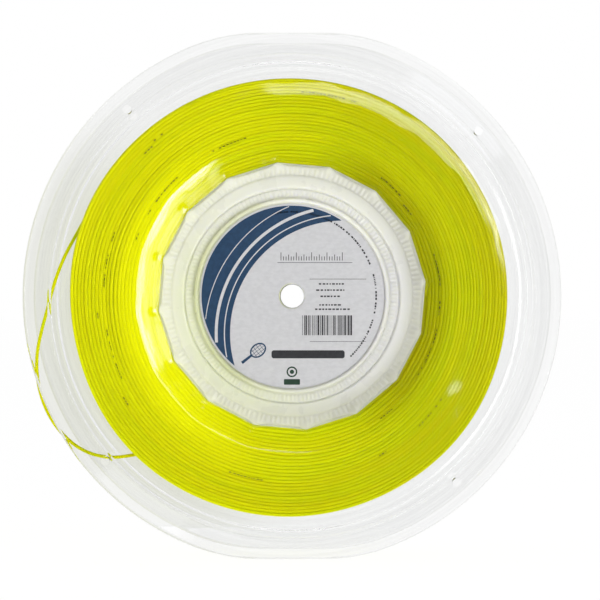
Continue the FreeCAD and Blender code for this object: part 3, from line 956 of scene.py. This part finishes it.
def string_marks():
    """Groups of short printed dashes on single turns of the string; each group runs between two places on the wound face."""
    rng = np.random.default_rng(21)
    t, th, r, y = front_path
    groups = [((-29.9, 54.6), (-17.2, 59.1), 1), ((-43.4, 44.9), (-47.9, 38.9), 1), ((-48.6, 38.2), (-52.0, 34.8), 1),
              ((-53.5, 32.5), (-55.4, 29.6), 1), ((-58.0, 23.6), (-58.7, 21.7), 1), ((-66.6, 23.9), (-67.3, 21.0), 1),
              ((-48.3, 60.6), (-53.9, 57.6), 0), ((-52.4, 56.1), (-55.4, 52.0), 0), ((32.6, 44.5), (40.4, 37.4), 1), ((41.9, 35.5), (44.9, 30.7), 1),
              ((52.4, 15.7), (55.0, 4.1), 1), ((55.0, -1.5), (55.0, -7.1), 1), ((54.3, -12.4), (47.2, -29.6), 1), ((37.0, -41.9), (32.9, -45.7), 1),
              ((56.1, -37.4), (47.5, -48.6), 0), ((35.6, -58.7), (32.9, -60.2), 1), ((78.6, -1.5), (77.8, -13.5), 0),
              ((75.2, -25.4), (71.8, -33.7), 0), ((70.0, -37.4), (68.5, -41.2), 0), ((65.9, -44.9), (61.0, -52.4), 0),
              ((4.1, 76.0), (23.6, 72.2), 0), ((-69.6, -12.7), (-64.4, -30.7), 1), ((-73.0, -6.4), (-73.0, -9.0), 0),
              ((-70.3, 4.1), (-68.1, 15.3), 1), ((-63.6, -38.2), (-61.4, -40.8), 1), ((-23.2, -65.1), (-11.2, -69.6), 0)]
    verts, faces, mats = [], [], []
    for (x0, z0), (x1, z1), bold in groups:
        a0, a1 = atan2(z0, x0), atan2(z1, x1)
        while a1 - a0 > pi:
            a1 -= 2 * pi
        while a1 - a0 < -pi:
            a1 += 2 * pi
        if a1 < a0:
            a0, a1, x0, z0 = a1, a0, x1, z1
        aim = sqrt(x0 * x0 + z0 * z0)
        turn = (a0 / (2 * pi)) % 1.0
        ks = np.arange(TURNS - 1) + turn
        k = ks[np.argmin(np.abs(np.interp(ks, t, r) - aim))]
        at, end = k, k + (a1 - a0) / (2 * pi)
        while at < end:
            rad = np.interp(at, t, r)
            length = (0.35 + 0.65 * rng.random()) / (2 * pi * rad)
            s_ = np.linspace(at, at + length, 4)
            span = np.radians([72, 81, 90, 99, 108] if bold else [68, 79, 90, 101, 112])
            b0 = len(verts)
            for lift in (1.02, 0.96):
                for tt in s_:
                    rr, yy, aa = np.interp(tt, t, r), np.interp(tt, t, y), 2 * pi * tt
                    for ph in span:
                        q = rr + 0.65 * 1.06 * lift * cos(ph)
                        verts.append((q * cos(aa), yy - 0.65 * 0.40 * lift * sin(ph) - (0.008 if lift > 1 else 0), q * sin(aa)))
            m, n = len(s_), len(span)
            def vid(l, i, j):
                return b0 + l * m * n + i * n + j
            q = []
            for i in range(m - 1):
                for j in range(n - 1):
                    q.append((vid(0, i, j), vid(0, i + 1, j), vid(0, i + 1, j + 1), vid(0, i, j + 1)))
                    q.append((vid(1, i, j), vid(1, i, j + 1), vid(1, i + 1, j + 1), vid(1, i + 1, j)))
                q.append((vid(0, i, 0), vid(1, i, 0), vid(1, i + 1, 0), vid(0, i + 1, 0)))
                q.append((vid(0, i, n - 1), vid(0, i + 1, n - 1), vid(1, i + 1, n - 1), vid(1, i, n - 1)))
            for j in range(n - 1):
                q.append((vid(0, 0, j), vid(0, 0, j + 1), vid(1, 0, j + 1), vid(1, 0, j)))
                q.append((vid(0, m - 1, j), vid(1, m - 1, j), vid(1, m - 1, j + 1), vid(0, m - 1, j + 1)))
            q = np.array(q)
            if signed_volume(np.array(verts) - np.array(verts[b0]), q) < 0:
                q = q[:, ::-1]
            faces += q.tolist()
            mats += [0 if bold else 1] * len(q)
            at += length + (0.45 + 0.6 * rng.random() + (1.5 if rng.random() < 0.15 else 0)) / (2 * pi * rad)
    ob = mesh_object("string_printed_marks", np.array(verts) * MM, faces, [M_MARK, M_FAINT], face_mats=mats)
    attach(ob, "root")
    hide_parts("string_winding")


string_marks()

# ------------------------------------------------------- stage and light ----
def make_stage():
    mat, nt = new_material("pale_floor")
    tc = put(nt, "ShaderNodeTexCoord")
    n = noise(nt, tc.outputs["Object"], 30.0, 3.0, 0.5)
    col = mix_colour(nt, n, (0.86, 0.86, 0.86), (0.90, 0.90, 0.90))
    dif = put(nt, "ShaderNodeBsdfDiffuse", {"Color": col})
    lit = put(nt, "ShaderNodeEmission", {"Color": (1, 1, 1, 1), "Strength": 0.45})
    dif = put(nt, "ShaderNodeAddShader", {0: dif.outputs[0], 1: lit.outputs[0]})
    # straight to the camera the floor is as pale as the backdrop, with a trace of its own shading
    part = put(nt, "ShaderNodeBsdfDiffuse", {"Color": (0.14, 0.14, 0.14, 1.0)})
    glow = put(nt, "ShaderNodeEmission", {"Color": (1, 1, 1, 1), "Strength": 0.93})
    add = put(nt, "ShaderNodeAddShader", {0: part.outputs[0], 1: glow.outputs[0]})
    path = put(nt, "ShaderNodeLightPath")
    seen = calc(nt, "MAXIMUM", path.outputs["Is Camera Ray"], path.outputs["Is Transmission Ray"])
    both = put(nt, "ShaderNodeMixShader", {0: seen, 1: dif.outputs[0], 2: add.outputs[0]})
    none = put(nt, "ShaderNodeBsdfTransparent", {"Color": (1, 1, 1, 1)})
    mirrored = calc(nt, "MINIMUM", path.outputs["Glossy Depth"], 1.0)
    both = put(nt, "ShaderNodeMixShader", {0: mirrored, 1: both.outputs[0], 2: none.outputs[0]})
    out(nt, both.outputs[0])
    s = 12.0
    v = [(-s, -s, -0.0977), (s, -s, -0.0977), (s, s, -0.0977), (-s, s, -0.0977)]
    ob = mesh_object("floor", v, [(0, 1, 2, 3)], mat, smooth=False)
    ob.visible_glossy = False
    ob.visible_shadow = False


make_stage()


def make_card():
    """A white card behind the reel, seen only through the clear flanges, with a painted yellowish shadow of the wound
    string on it.
    """
    mat, nt = new_material("white_card")
    tc = put(nt, "ShaderNodeTexCoord")
    x, y, z = put(nt, "ShaderNodeSeparateXYZ", {0: tc.outputs["Object"]}).outputs
    dx = calc(nt, "ADD", x, 0.016)
    dz = calc(nt, "ADD", z, 0.003)
    d = calc(nt, "SQRT", calc(nt, "ADD", calc(nt, "MULTIPLY", dx, dx), calc(nt, "MULTIPLY", dz, dz)))
    shade = remap(nt, d, 0.072, 0.116)
    # painted shadow: on the -X side the card is painted yellowish grey over the winding and pale grey further out
    lean = calc(nt, "ADD", calc(nt, "MULTIPLY", x, 0.94), calc(nt, "MULTIPLY", z, 0.34))
    left = remap(nt, lean, -0.078, -0.030)
    inner = mix_colour(nt, left, (0.84, 0.85, 0.73), (1.0, 1.0, 0.985))
    outer = mix_colour(nt, left, (0.93, 0.93, 0.94), (1.0, 1.0, 1.0))
    col = mix_colour(nt, shade, inner, outer)
    em = put(nt, "ShaderNodeEmission", {"Color": col, "Strength": 1.0})
    out(nt, em.outputs[0])
    v = [(-0.17, 0.12, -0.16), (0.17, 0.12, -0.16), (0.17, 0.12, 0.16), (-0.17, 0.12, 0.16)]
    ob = mesh_object("card_behind", v, [(0, 1, 2, 3)], mat, smooth=False)
    ob.visible_camera = False
    ob.visible_diffuse = False
    ob.visible_glossy = False
    ob.visible_shadow = False


make_card()


def soft_box(name, x0, x1, z0, z1, dist, radiance, colour=(1, 1, 1), ring=None, run=None, ragged=0.0):
    """A soft light seen from the reel between the directions whose parts along X and Z are x0 to x1 and z0 to z1. ring and run
    cut it to a part of a ring round the reel's axis: the ring's parts, from out to full, full to out, and its run in degrees."""
    ax, bx, az, bz = (np.arcsin(v) for v in (x0, x1, z0, z1))
    x, z = sin((ax + bx) / 2), sin((az + bz) / 2)
    wide, tall = 2 * dist * tan((bx - ax) / 2), 2 * dist * tan((bz - az) / 2)
    data = bpy.data.lights.new(name, "AREA")
    data.shape = "RECTANGLE"
    data.size, data.size_y = wide, tall
    data.energy = radiance * wide * tall * pi
    data.color = colour
    if ring:
        data.use_nodes = True
        lt = data.node_tree
        lt.nodes.clear()
        place = put(lt, "ShaderNodeNewGeometry").outputs["Position"]
        unit = put(lt, "ShaderNodeVectorMath", {0: place}, operation="NORMALIZE").outputs[0]
        px, py, pz = put(lt, "ShaderNodeSeparateXYZ", {0: unit}).outputs
        off = calc(lt, "SQRT", calc(lt, "ADD", calc(lt, "MULTIPLY", px, px), calc(lt, "MULTIPLY", pz, pz)))
        turn = calc(lt, "MULTIPLY", calc(lt, "ARCTAN2", pz, px), 180 / pi)
        # long streaks run along the ring, so its ends are ragged
        streak = noise(lt, vec(lt, calc(lt, "MULTIPLY", off, 60.0), calc(lt, "MULTIPLY", turn, 0.012), 0.0), 1.0, 3.0, 0.6)
        turn = calc(lt, "ADD", turn, calc(lt, "MULTIPLY", calc(lt, "SUBTRACT", streak, 0.5), ragged))
        mask = calc(lt, "MULTIPLY", remap(lt, off, ring[0], ring[1]), remap(lt, off, ring[2], ring[3], 1.0, 0.0))
        if len(ring) > 4:
            rim = calc(lt, "MULTIPLY", remap(lt, off, ring[2], ring[3]), remap(lt, off, ring[4], ring[5], ring[6], 0.0))
            mask = calc(lt, "ADD", mask, rim)
        mask = calc(lt, "MULTIPLY", mask, remap(lt, streak, 0.35, 0.60, 0.78, 1.0))
        ends = calc(lt, "MULTIPLY", remap(lt, turn, run[0], run[1]), remap(lt, turn, run[2], run[3], 1.0, 0.0))
        em = put(lt, "ShaderNodeEmission", {"Color": (1, 1, 1, 1), "Strength": calc(lt, "MULTIPLY", mask, ends)})
        put(lt, "ShaderNodeOutputLight", {"Surface": em.outputs[0]})
    ob = bpy.data.objects.new(name, data)
    place = Vector((x, -sqrt(1 - x * x - z * z), z)) * dist
    ob.location = place
    ob.rotation_euler = (-place).to_track_quat("-Z", "Y").to_euler()
    ob.visible_camera = False
    scene.collection.objects.link(ob)
    return ob


soft_box("window_right", 0.20, 0.66, -0.58, 0.50, 1.5, 8.2, ring=(0.27, 0.33, 0.43, 0.49, 0.58, 0.65, 0.28), run=(-62, -48, 22, 34), ragged=80.0)
soft_box("window_upper_right", 0.30, 0.72, 0.52, 0.80, 1.7, 1.2, (0.93, 0.93, 1.0))
soft_box("panel_upper", -0.08, 0.35, -0.10, 0.35, 1.6, 3.2, ring=(0.180, 0.205, 0.34, 0.36), run=(8, 42, 92, 106), ragged=20.0)

world = bpy.data.worlds.new("studio")
scene.world = world
world.use_nodes = True
wt = world.node_tree
wt.nodes.clear()
path = put(wt, "ShaderNodeLightPath")
seen = calc(wt, "MAXIMUM", path.outputs["Is Camera Ray"], path.outputs["Is Transmission Ray"])
# the room is dark on the camera's side and white behind the reel
wdir = put(wt, "ShaderNodeTexCoord").outputs["Generated"]
wy = put(wt, "ShaderNodeSeparateXYZ", {0: wdir}).outputs[1]
behind = remap(wt, wy, -0.25, 0.15)
bent = calc(wt, "MULTIPLY", calc(wt, "MINIMUM", path.outputs["Glossy Depth"], 1.0), calc(wt, "SUBTRACT", 1.0, behind))
seen = calc(wt, "MULTIPLY", seen, calc(wt, "SUBTRACT", 1.0, bent))
room = mix_colour(wt, behind, (0.004, 0.004, 0.004), (0.9, 0.9, 0.9))
# straight behind the reel the room is darker again, with one soft window up on one side
wz = put(wt, "ShaderNodeSeparateXYZ", {0: wdir}).outputs[2]
wleft = put(wt, "ShaderNodeSeparateXYZ", {0: wdir}).outputs[0]
pane = calc(wt, "MULTIPLY", remap(wt, wleft, -0.50, -0.40), remap(wt, wleft, -0.24, -0.16, 1.0, 0.0))
pane = calc(wt, "MULTIPLY", pane, calc(wt, "MULTIPLY", remap(wt, wz, 0.00, 0.12), remap(wt, wz, 0.46, 0.58, 1.0, 0.0)))
room = mix_colour(wt, remap(wt, wy, 0.34, 0.58), room, mix_colour(wt, pane, (0.05, 0.05, 0.05), (2.6, 2.6, 2.6)))
# matt surfaces also get a wash of light from far to the left
wx = put(wt, "ShaderNodeSeparateXYZ", {0: wdir}).outputs[0]
front = mix_colour(wt, remap(wt, wx, -0.90, -0.60, 1.0, 0.0), (0.20, 0.20, 0.205), (1.8, 1.8, 1.8))
front = mix_colour(wt, remap(wt, wx, 0.60, 0.88, 0.0, 0.8), front, (0.85, 0.85, 0.85))
fill = mix_colour(wt, behind, front, (0.55, 0.55, 0.55))
gloss = mix_colour(wt, calc(wt, "MINIMUM", path.outputs["Glossy Depth"], 1.0), fill, room)
wc = mix_colour(wt, seen, gloss, (1.0, 1.0, 1.0))
wbg = put(wt, "ShaderNodeBackground", {"Color": wc, "Strength": 1.0})
put(wt, "ShaderNodeOutputWorld", {"Surface": wbg.outputs[0]})
